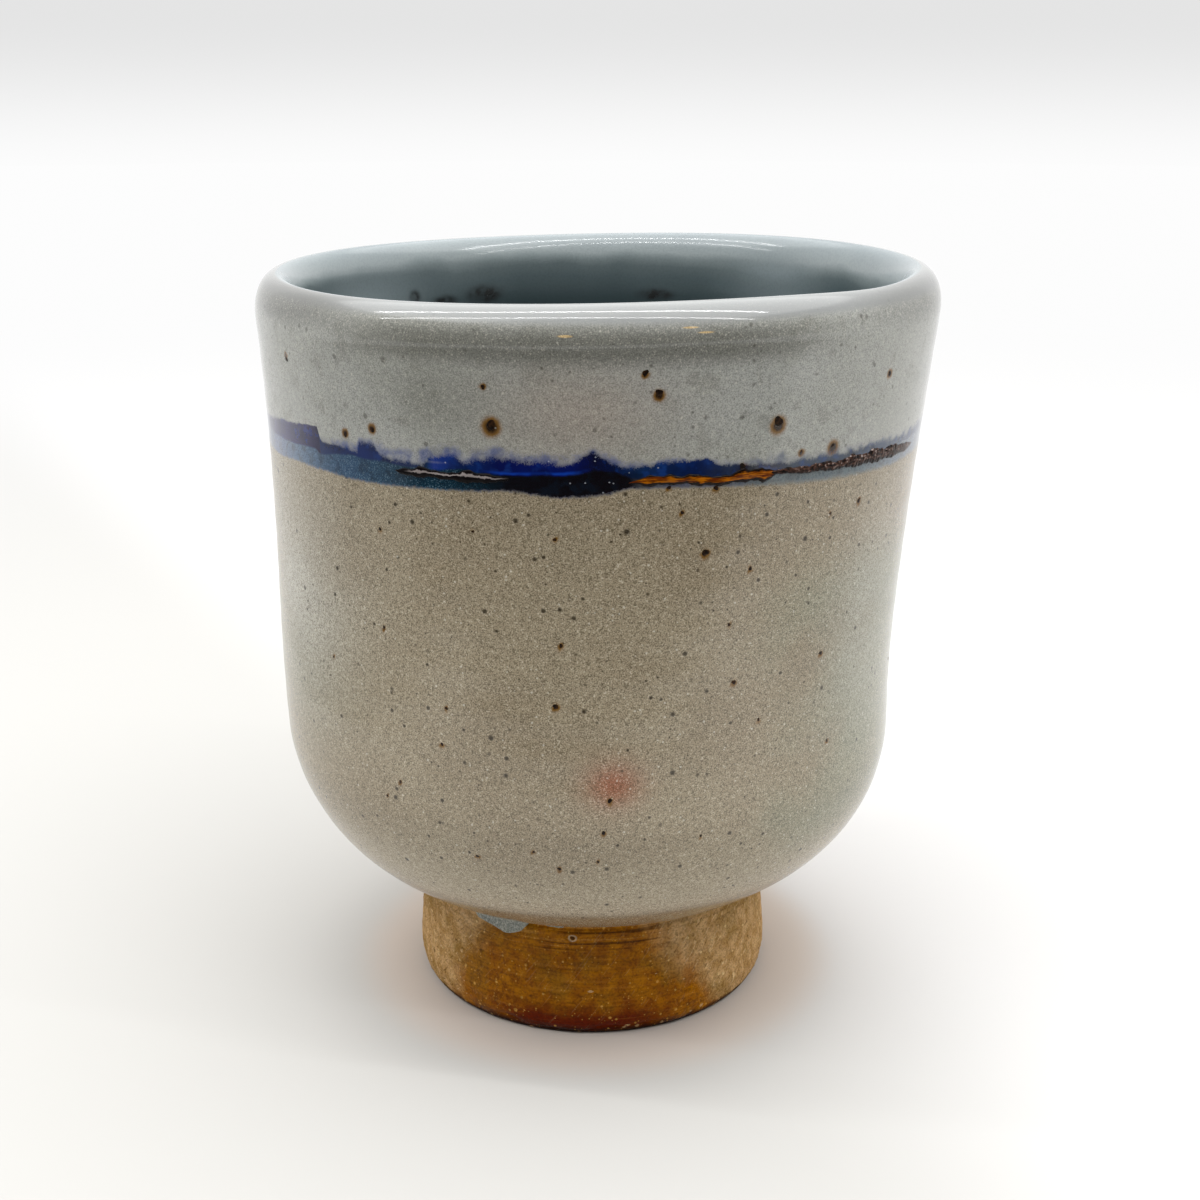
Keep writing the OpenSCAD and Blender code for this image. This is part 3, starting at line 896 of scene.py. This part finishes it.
def band_colour(shader, ground, low, grain, mottle):
    """Brushed cobalt over the ground: soft and uneven above, dense and crisp below."""
    azimuth, height = shader.azimuth, shader.height
    dabs = shader.noise(1.3, 4) - 0.5
    sand = (grain - 0.5) * 1.6
    stray = (shader.noise(11) - 0.5) * azimuth.math("ABSOLUTE").blend(*BACK_FROM, 0.0, 4.0)
    soft = shader.curve(azimuth, BAND_SOFT, *SOFT_LIMITS)
    under = shader.curve(azimuth, BAND_HIGH_EDGE, *BAND_LIMITS) - height + stray
    under = under + dabs * (soft + 0.35) + sand * soft
    wash = shader.curve(azimuth, BAND_WASH_EDGE, *BAND_LIMITS) - height + stray + sand + dabs * 1.2
    wash = wash.blend(0.0, 0.8) * dabs.blend(-0.16, 0.12, 0.2, BAND_WASH_COVER)
    upper, upper_cover = shader.ramp(azimuth, BAND_UPPER)
    upper = upper.tint(mottle.blend(0.36, 0.52, 0.45, 0.0), "#02040f")
    upper = upper.tint(dabs.blend(0.04, 0.2, 0.0, 0.3), "#1c4aa0")
    lower, lower_cover = shader.ramp(azimuth, BAND_LOWER)
    lower = lower.tint(grain.blend(0.54, 0.68) * azimuth.blend(-15, -24, 0.0, 0.45), "#7f9cae")
    lower = lower.tint(grain.blend(0.5, 0.34, 0.0, 0.55), "#0a141c")
    lower = lower.tint(dabs.blend(-0.02, -0.16, 0.0, 0.4), "#0a1a2a")
    split = (mottle - 0.5) * 0.5 + height - shader.curve(azimuth, BAND_SPLIT, *BAND_LIMITS)
    royal = split.span(0.1, 0.35, 0.15) * azimuth.span(-15, -2, 2) * mottle.blend(0.4, 0.6, 0.3, 0.9)
    split = split.blend(-0.16, 0.16)
    colour = split.pick(lower, upper.tint(royal, "#0c40b0"))
    gap = azimuth.span(*GAP, 1.5) * height.span(*GAP_Z, 0.2)
    full = (lower_cover + (upper_cover - lower_cover) * split) * gap.blend(0.0, 1.0, 1.0, 0.6)
    fuzz = azimuth.blend(20, 30, 0.2, 0.45)
    inside = (low + fuzz).blend(0.0, fuzz * 2.0)
    cover = inside * under.blend(0.0, soft).math("POWER", 1.5)
    tone = azimuth.blend(18, 28).pick("#34498a", "#3c4a6a")
    painted = ground.tint(wash * inside, tone).tint(cover * full, colour)
    painted = painted.tint(shader.flecks(*BAND_SPECKS) * cover * 0.6, "#d0dae2")
    # Painted highlights: small pale glints on the dark glass of the band
    return shader.daubs(painted, "#dfe4ec", [place + GLINT for place in GLINTS], GLINT_FADE)


def grained(colour, grain, dark, share):
    """The colour with darker and paler grains in it."""
    pale = colour.tint(grain.blend(0.56, 0.7), colour.tint(0.6 * share, "#fff6e2"))
    return grain.blend(0.34, 0.56).pick(colour.tint(share, dark), pale)


# Patches of other colours on the glaze, some of them painted shade and painted light: azimuth, height,
# width, height and strength
RIM_WARM = (-2, 79.5, 13, 5, 0.7)
RIM_DARK = (-24, 80, 9, 3, 0.4)
# Painted shade: the lip darker towards both ends
LIP_END_SHADE = [(-60, 88.2, 24, 2.6, 0.72), (63, 88.2, 22, 2.6, 0.5)]
# Painted highlights: small warm glints on the lip
LIP_GLINTS = [(-3.9, 87.2, 1.1, 0.14, 0.8), (13.6, 87.9, 1.2, 0.1, 0.8), (15.8, 87.4, 1.2, 0.1, 0.8)]
# Painted light: paler patches on the body at the left and right
SIDE_LIGHT_PATCHES = [(-59, 57, 17, 13, 0.88), (52, 54, 10, 12, 0.5)]
BLUSH = (3.2, 39.7, 4.6, 2.6, 0.85)
# Heights where the lip grows calm, and the belt of painted shade below it
LIP_CALM_Z = (87.8, 88.8)
LIP_SHADE_Z = (84.5, 88)
LIP_SHADE_AZIMUTHS = (-38, 32)
# Where wide clouds of colour change over
CLOUDS = (0.35, 0.65)


def rim_colour(shader, wide, mottle, grain):
    colour = wide.blend(*CLOUDS).pick("#a9aaa2", "#b1b2ac")
    colour = colour.tint(mottle.blend(0.54, 0.68, 0.0, 0.3), "#7e7e74")
    colour = shader.daubs(colour, "#aea296", [RIM_WARM])
    colour = shader.daubs(colour, "#79796f", [RIM_DARK])
    # Painted shade: a darker belt under the lip across the front
    lip_shade = shader.height.span(*LIP_SHADE_Z, 1.2) * shader.azimuth.span(*LIP_SHADE_AZIMUTHS, 14)
    colour = colour.tint(lip_shade * 0.85, "#72726a")
    colour = colour.tint(shader.height.blend(*LIP_CALM_Z), "#949695")
    # Painted shade at the ends of the lip
    colour = shader.daubs(colour, "#62625e", LIP_END_SHADE, (0.1, 0.9))
    # Painted highlights on the lip
    colour = shader.daubs(colour, "#e6c48a", LIP_GLINTS, GLINT_FADE)
    return grained(colour, grain, "#34342e", 0.38)


def body_colour(shader, wide, grain):
    """Warm grey that turns green at the right. Painted light makes it paler at the sides and towards the
    foot, and at the glaze's lower edge it darkens, partly thicker glaze and partly painted shade.
    """
    height = shader.height
    colour = wide.blend(*CLOUDS).pick("#a09279", "#a99c83")
    green = (wide * 28 + shader.side).blend(30, 46) * height.blend(66, 56)
    green = green.math("MAXIMUM", shader.patch(-62, 47, 14, 8) * 0.6)
    colour = colour.tint(green, "#95957e")
    # Painted light: the sides of the body paler
    colour = shader.daubs(colour, "#c7c4b8", SIDE_LIGHT_PATCHES, by=wide.blend(0.3, 0.55, 0.7, 1.0))
    # Painted light: paler towards the foot, standing for the floor's bounce
    colour = colour.tint(height.blend(33, 22), "#bcae94")
    # Darker at the glaze's lower edge: partly a thicker border of glaze, partly painted shade where the wall
    # turns under
    colour = colour.tint(height.blend(22.6, 20.4), "#9c8d74")
    colour = shader.daubs(colour, "#a05a38", [BLUSH], by=wide.blend(0.1, 0.5))
    return grained(colour, grain, "#352b1a", 0.62)


# Specks in the glaze: spacing, radius, share of cells and strength
DARK_SPECKS = [(2.4, 0.46, 0.6, 0.9), (1.3, 0.36, 0.52, 0.85), (0.65, 0.16, 0.35, 0.7)]
PALE_SPECKS = [(0.6, 0.18, 0.4, 0.5)]
# Heights about the band's lower edge where the body's glaze gives way to the rim's
RIM_OVER = (-0.3, 0.4)


def outer_glaze(name):
    """The outside of the bowl: rim and body glaze, stained by iron, with the band brushed over them."""
    shader = Shader(name)
    wide = shader.noise(14)
    mottle = shader.noise(2.4, 3)
    coarse = shader.noise(0.45)
    fine = shader.noise(0.14, 1)
    calm = shader.height.blend(*LIP_CALM_Z, 0.0, 0.8)
    bare = calm * -1.0 + 1.0
    grain = (fine * 0.75 + coarse * 0.25) * bare + calm * 0.58
    low = shader.height - shader.curve(shader.azimuth, BAND_LOW_EDGE, *BAND_LIMITS)
    low = low + (wide - 0.5) * shader.azimuth.math("ABSOLUTE").blend(*BACK_FROM, 0.0, 2.0)
    low = low + (coarse - 0.5) * 0.5 + (fine - 0.5) * 0.5
    body = body_colour(shader, wide, grain)
    colour = low.blend(*RIM_OVER).pick(body, rim_colour(shader, wide, mottle, grain))
    halo = shader.attribute("halo") + (coarse - 0.5) * 0.25
    colour = colour.tint(halo.blend(0.1, 0.55, 0.0, 0.92), "#7c5411")
    colour = colour.tint(halo.blend(0.45, 0.85, 0.0, 0.92), "#1c1006")
    bare = bare * low.blend(*RIM_OVER, 1.0, 0.55)
    for specks, code in ((DARK_SPECKS, "#2a2116"), (PALE_SPECKS, "#eeeadb")):
        for *cells, strength in specks:
            colour = colour.tint(shader.flecks(*cells) * bare * strength, code)
    colour = band_colour(shader, colour, low, grain, mottle)
    roughness = low.blend(0.6, -0.6) * 0.1 + 0.08
    return shader.finish([(grain, 0.003)], Base_Color=colour, Roughness=roughness, IOR=1.55)


# Colour of the inside by height, its pale top partly painted reflection, pale patches of painted reflection,
# and dark pools on it
LINER_STOPS = [(20, "#333f40", 1), (78, "#293637", 1), (82, "#394649", 1), (84, "#4c595c", 1),
               (85.6, "#606c6e", 1), (86.8, "#848f90", 1), (87.6, "#9ca5a6", 1), (90, "#8c9598", 1)]
LINER_REFLECTION_PATCHES = [(-120, 83, 19, 4, 0.85), (134, 82, 13, 3, 0.5), (137, 86, 9, 1.8, 0.85)]
LINER_POOLS = [(-154, 82.2, 4.2, 1.2, 0.85), (-144, 81.6, 3, 0.8, 0.85), (-136, 82.6, 1.6, 0.9, 0.85),
               (166, 81.8, 4, 0.8, 0.85)]


def liner_material():
    shader = Shader("liner_glaze")
    grain = shader.noise(0.3)
    # Dark glaze deep down, paler towards the lip: the pale top is partly painted reflection
    colour, _ = shader.ramp(shader.height + (shader.noise(9) - 0.5) * 2.4, LINER_STOPS)
    # Painted reflection: pale patches on the inside walls at the sides
    colour = shader.daubs(colour, "#8a9699", LINER_REFLECTION_PATCHES)
    uneven = shader.noise(1.2, 3).blend(0.35, 0.6, 0.55, 1.0)
    colour = shader.daubs(colour, "#150d09", LINER_POOLS, (0.05, 0.8), uneven)
    colour = colour.tint(grain.blend(0.3, 0.6, 0.08, 0.0), "#1c2222")
    return shader.finish([(grain, 0.001)], Base_Color=colour, Roughness=0.15, IOR=1.55)


# The amber flash on the foot: its left and right border, and how far they lean about a height
FLASH_LEFT = (-48, -36)
FLASH_RIGHT = (22, 36)
FLASH_LEANS = (-1.6, 2.2)
FLASH_Z = 8.0
# Direction and fineness of the scratches in the clay
SCRATCHES = {"Rotation": (0, math.radians(35), 0), "Scale": (0.22, 0.8, 5)}
# Dots in the clay: spacing, radius, share of cells, strength and colour
IRON_DOTS = [(1.6, 0.45, 0.3, 0.7, "#2a1404"), (0.8, 0.3, 0.3, 0.6, "#2f1906"),
             (0.45, 0.2, 0.35, 0.4, "#3a2008")]
GROG_DOTS = [(1.7, 0.36, 0.4, 0.85, "#f2d6a2"), (0.8, 0.28, 0.4, 0.85, "#e8c88c"),
             (0.4, 0.16, 0.4, 0.65, "#dcb878")]
GROG_STAINED = "#efb858"


def clay_colour(shader):
    """The bare clay of the foot, with the amber flash and the scorched lower edge at its front."""
    height = shader.height
    wide = shader.noise(5, 3)
    blot = shader.noise(1.4, 4)
    patchy = blot.blend(0.36, 0.64)
    wander = shader.azimuth + (wide - 0.5) * 26
    rise = height - FLASH_Z
    left = (rise * FLASH_LEANS[0] + wander).blend(*FLASH_LEFT)
    flash = left * (rise * FLASH_LEANS[1] + wander).blend(*FLASH_RIGHT, 1.0, 0.0)
    clay = patchy.pick("#b08954", "#cca673").tint(flash, patchy.pick("#905400", "#ac6c02"))
    clay = clay.tint(wide.blend(0.5, 0.62) * 0.35, "#80621a")
    scorch = (wide * 6 + height).blend(8.4, 5) * wander.span(-32, 20, 14)
    clay = clay.tint(scorch, "#661c00")
    # Near black along the lowest 1 to 2 mm of the foot, all round
    clay = clay.tint((blot * 1.2 + height).blend(2.1, 0.9), "#2a0c02")
    lines = shader.noise(1, 3, shader.stretched(14, 0.34))
    turned_in = height.blend(10, 12.6, 0.2, 0.7) * (flash * 0.7 + 0.3)
    clay = clay.tint(lines.blend(0.5, 0.4) * turned_in, "#3a1f04")
    clay = clay.tint(lines.blend(0.58, 0.68, 0.0, 0.5) * turned_in, "#d29a4a")
    slanted = shader.field("Mapping", {"Vector": shader.point, **SCRATCHES}, vector_type="TEXTURE")
    scratch = shader.noise(1, 2, slanted)
    dry = flash * -0.6 + 0.7
    clay = clay.tint(scratch.blend(0.62, 0.7) * dry, "#dcbc8c")
    clay = clay.tint(scratch.blend(0.36, 0.28) * dry, "#5a3c18")
    hole = shader.patch(*PIT, 1.1, 0.34)
    clay = clay.tint(hole.span(0.2, 0.5, 0.12), "#c8b090")
    clay = clay.tint(hole.blend(0.5, 0.75, 0.0, 0.85), "#3c2206")
    return clay, flash, blot


def speckle(shader, colour, flash, grit, dark):
    """Iron and cream grog as dots of several sizes, and fine grit. The amber flash stains the grog."""
    worn = flash * -0.3 + 1.0
    for *cells, strength, code in IRON_DOTS:
        colour = colour.tint(shader.flecks(*cells) * strength * worn, code)
    for *cells, strength, code in GROG_DOTS:
        colour = colour.tint(shader.flecks(*cells) * strength * worn, flash.pick(code, GROG_STAINED))
    return grit.blend(0.36, 0.56).pick(colour.tint(0.35, dark), colour)


def clay_material(name):
    shader = Shader(name)
    clay, flash, blot = clay_colour(shader)
    clay = clay.tint(shader.attribute("grog").blend(0.35, 0.8, 0.0, 0.6), "#e2c08c")
    grit = shader.noise(0.25)
    clay = speckle(shader, clay, flash, grit, "#2c1808")
    return shader.finish([(grit, 0.06), (blot, 0.08)], Base_Color=clay, Roughness=flash * -0.3 + 0.75,
                         Specular_IOR_Level=0.03)


def wash_material():
    shader = Shader("amber_wash")
    clay, flash, blot = clay_colour(shader)
    grit = shader.noise(0.3)
    clay = speckle(shader, clay, flash, grit, "#241002")
    return shader.finish([(grit, 0.08), (blot, 0.1)], Base_Color=clay, Roughness=0.2,
                         Specular_IOR_Level=0.08)


def run_material():
    shader = Shader("glaze_runs")
    grain = shader.noise(0.2)
    colour = grained(shader.noise(2.5).blend(0.3, 0.7).pick("#858b86", "#9c9f94"), grain, "#2c2c24", 0.5)
    return shader.finish([(grain, 0.01)], Base_Color=colour, Roughness=0.2, IOR=1.5)


def spot_material():
    shader = Shader("iron_spots")
    grain = shader.noise(0.3)
    colour = grain.blend(0.4, 0.65).pick("#120a05", "#34200f")
    return shader.finish([(grain, 0.01)], Base_Color=colour, Roughness=0.4, Specular_IOR_Level=0.1)


def amber_material():
    """Amber glass with a burnt outline."""
    shader = Shader("amber_line")
    streaks = shader.noise(1, 3, shader.stretched(1.4, 0.16))
    across = shader.attribute("across") + (shader.noise(0.6, 3) - 0.5) * 0.5 + (streaks - 0.5) * 0.9
    glass = streaks.blend(0.4, 0.6).pick("#5a2402", "#ac6204")
    colour = across.span(-0.36, 0.62, 0.15).pick("#120602", glass)
    return shader.finish([(streaks, 0.03)], Base_Color=colour, Roughness=0.2, Specular_IOR_Level=0.12)


# Azimuths of the pale ridge in the left line, a broken glaze edge with a painted highlight, and where the
# right line fades
CUT_RIDGE_GLINT = (-28.5, -13.6)
IRON_FADE = (55, 66)


def iron_material():
    """Black glass with a pale broken ridge on the left, partly a painted highlight, and crinkled brown iron
    on the right with painted glints.
    """
    shader = Shader("iron_line")
    across = shader.attribute("across")
    knots = shader.noise(0.3, 3)
    middle = across + (shader.noise(0.5, 3) - 0.5) * 1.1
    # The pale ridge: partly broken glaze, partly a painted highlight
    cut = (middle.span(0.1, 0.52, 0.08) * shader.azimuth.span(*CUT_RIDGE_GLINT, 1.5)).pick("#080305", "#938a88")
    crinkle = knots * 0.5 + shader.noise(1, 3, shader.stretched(0.9, 0.2)) * 0.5
    ribbed = crinkle.blend(0.42, 0.6).pick("#0c0605", "#573c30")
    # Painted highlights along the upper edge of the crinkled line
    glint = crinkle.blend(0.56, 0.64, 0.0, 0.8) * across.blend(-0.2, 0.6, 0.25, 1.0)
    ribbed = ribbed.tint(glint, "#c4b8b4")
    below = across + (knots - 0.5) * 1.2
    ribbed = ribbed.tint(below.blend(-0.25, -0.65, 0.0, 0.85), "#0a0606")
    ribbed = ribbed.tint(shader.azimuth.blend(*IRON_FADE, 0.0, 0.5), "#968e8c")
    colour = shader.azimuth.blend(0, 10).pick(cut, ribbed)
    return shader.finish([(crinkle, 0.1)], Base_Color=colour, Roughness=0.3, Specular_IOR_Level=0.08)


def make_object():
    make_outer_coats()
    make_liner()
    make_wall()
    make_foot()
    make_wash()
    make_runs()
    make_spots()
    make_lines()


WHITE = "#ffffff"
# Brightness of the backdrop above the floor and at the top, and the heights between, as a direction
BACKDROP = 0.98
BACKDROP_TOP = 0.78
BACKDROP_RISE = (-0.06, 0.03)
# The floor: its size, and the distances where its painted warm bounce from the foot and the floor itself
# fade out
FLOOR_R = 2000
FLOOR_RINGS = 60
FLOOR_SIDES = 96
FLOOR_BOUNCE = (26, 33)
FLOOR_FADE = (100, 600)
# Painted light: the sheet grows paler to the right and behind, between two distances
FLOOR_SLOPE = (1.0, 0.6, 0.0)
FLOOR_LIGHT_SPAN = (-10, 50)
# Brightness of the faded floor in front, and the distances over which it becomes the backdrop's
FLOOR_FRONT = 0.9
FLOOR_FRONT_Y = (-250, 100)


def make_floor():
    """A pale sweep that fades into the backdrop, with painted light near the foot and towards the right and
    back.
    """
    radius = FLOOR_R * np.linspace(0, 1, FLOOR_RINGS + 1)[1:, None] ** 2
    turn = np.arange(FLOOR_SIDES) * 2 * np.pi / FLOOR_SIDES
    points = np.stack(np.broadcast_arrays(radius * np.cos(turn), radius * np.sin(turn), 0.0), axis=-1)
    faces = quads(FLOOR_RINGS, FLOOR_SIDES, False, True) + [list(reversed(range(FLOOR_SIDES)))]
    shader = Shader("floor")
    away = shader.field("VectorMath", {0: shader.point}, "Value", operation="LENGTH")
    slope = shader.field("VectorMath", {0: shader.point, 1: FLOOR_SLOPE}, "Value", operation="DOT_PRODUCT")
    # Painted light: the floor paler to the right and behind
    sheet = slope.blend(*FLOOR_LIGHT_SPAN).pick("#bcbbb8", "#cfcecd")
    # Painted light: a warm bounce from the foot, near it
    paper = shader.field("BsdfDiffuse", {"Color": away.blend(*FLOOR_BOUNCE).pick("#c6bdb5", sheet)})
    strength = shader.depth.blend(*FLOOR_FRONT_Y, FLOOR_FRONT, BACKDROP)
    glow = shader.field("Emission", {"Color": WHITE, "Strength": strength})
    both = shader.field("MixShader", {0: away.blend(*FLOOR_FADE), 1: paper, 2: glow})
    shader.node("OutputMaterial", {"Surface": both})
    add_object("floor", new_mesh("floor", points, faces, shader.material))


# Brightness of the tent by direction: low and high in front, beside, behind the bowl and overhead
ROOM_NEAR = 0.03
ROOM_HIGH = 0.22
ROOM_RISE = (0.1, 0.35)
ROOM_SIDE = 0.9
ROOM_SIDE_Y = (-0.6, 0.3)
BACK = 1.0
BACK_Y = (0.66, 0.78)
CEILING_NEAR = 0.68
CEILING_FAR = 2.3
CEILING_Y = (-0.62, -0.46)
CEILING_Z = (0.55, 0.65)


def make_world():
    """A white tent that is bright above and beside the bowl and dim behind the camera."""
    bpy.context.scene.world = bpy.data.worlds.new("tent")
    tent = Nodes(bpy.context.scene.world)
    _, y, z = tent.fields("SeparateXYZ", {0: tent.field("TexCoord", output="Generated")})
    total = z.blend(*ROOM_RISE, ROOM_NEAR, ROOM_HIGH)
    ceiling = y.blend(*CEILING_Y, CEILING_NEAR, CEILING_FAR) * z.blend(*CEILING_Z)
    for light in (y.blend(*ROOM_SIDE_Y, ROOM_NEAR, ROOM_SIDE), y.blend(*BACK_Y, 0.0, BACK), ceiling):
        total = total.math("MAXIMUM", light)
    lit = tent.field("Background", {"Color": WHITE, "Strength": total})
    backdrop = z.blend(*BACKDROP_RISE, BACKDROP, BACKDROP_TOP)
    plain = tent.field("Background", {"Color": WHITE, "Strength": backdrop})
    seen = tent.field("LightPath", output="Is Camera Ray")
    both = tent.field("MixShader", {0: seen, 1: lit, 2: plain})
    tent.node("OutputWorld", {"Surface": both})


# Dark cards on the floor: left, near, right and far edge
CARDS = [(-550, -750, 500, -130), (-550, -130, -130, 170), (130, -130, 500, 170)]
CARD_Z = 1
# The two cards beside the bowl thin out to the back, and are denser on the left
CARD_FADE_Y = (-50, 160)
WING_FROM_Y = -130
WING_X = (-100, 100)
WING_COVER = (0.6, 0.2)


def make_cards():
    """Dark cards round the bowl's front, seen only in reflections and as lost fill light."""
    points = []
    for left, near, right, far in CARDS:
        points += [(left, near, CARD_Z), (right, near, CARD_Z), (right, far, CARD_Z), (left, far, CARD_Z)]
    faces = [tuple(range(first, first + 4)) for first in range(0, len(points), 4)]
    shader = Shader("cards")
    wings = shader.depth.blend(*CARD_FADE_Y, 1.0, 0.0) * shader.side.blend(*WING_X, *WING_COVER)
    cover = wings.math("MAXIMUM", shader.depth.math("LESS_THAN", WING_FROM_Y))
    material = shader.finish(Base_Color="#0b0b0c", Roughness=1.0, Alpha=cover)
    cards = add_object("cards", new_mesh("cards", points, faces, material))
    cards.visible_camera = False
    cards.visible_shadow = False


# Strips of light that hang over the bowl: name, place, length and power
STRIPS = [("far_strip", (-60, -95, 600), 1200, 1.9), ("near_strip", (-100, -335, 600), 1700, 2.1)]
STRIP_WIDTH = 14
STRIP_TURN = -12.5


def make_lights():
    for name, place, length, power in STRIPS:
        light = bpy.data.lights.new(name, "AREA")
        light.shape = "RECTANGLE"
        light.size = length * MM
        light.size_y = STRIP_WIDTH * MM
        light.energy = power
        lamp = add_object(name, light)
        lamp.location = [value * MM for value in place]
        lamp.rotation_euler = (0, 0, math.radians(STRIP_TURN))


CAMERA_LENS = 50.31
CAMERA_SENSOR = 36
CAMERA_CLIP = 10
CAMERA_PITCH = 17.586
CAMERA_PLACE = (0.64, -199.656, 111.552)


def make_camera():
    camera = bpy.data.cameras.new("camera")
    camera.lens = CAMERA_LENS
    camera.sensor_width = CAMERA_SENSOR
    camera.clip_start = CAMERA_CLIP * MM
    holder = add_object("camera", camera)
    holder.location = [value * MM for value in CAMERA_PLACE]
    holder.rotation_euler = (math.radians(90 - CAMERA_PITCH), 0, 0)
    bpy.context.scene.camera = holder


def make_stage():
    make_floor()
    make_world()
    make_cards()
    make_lights()
    make_camera()
    bpy.context.scene.view_settings.view_transform = "Standard"


make_object()
make_stage()
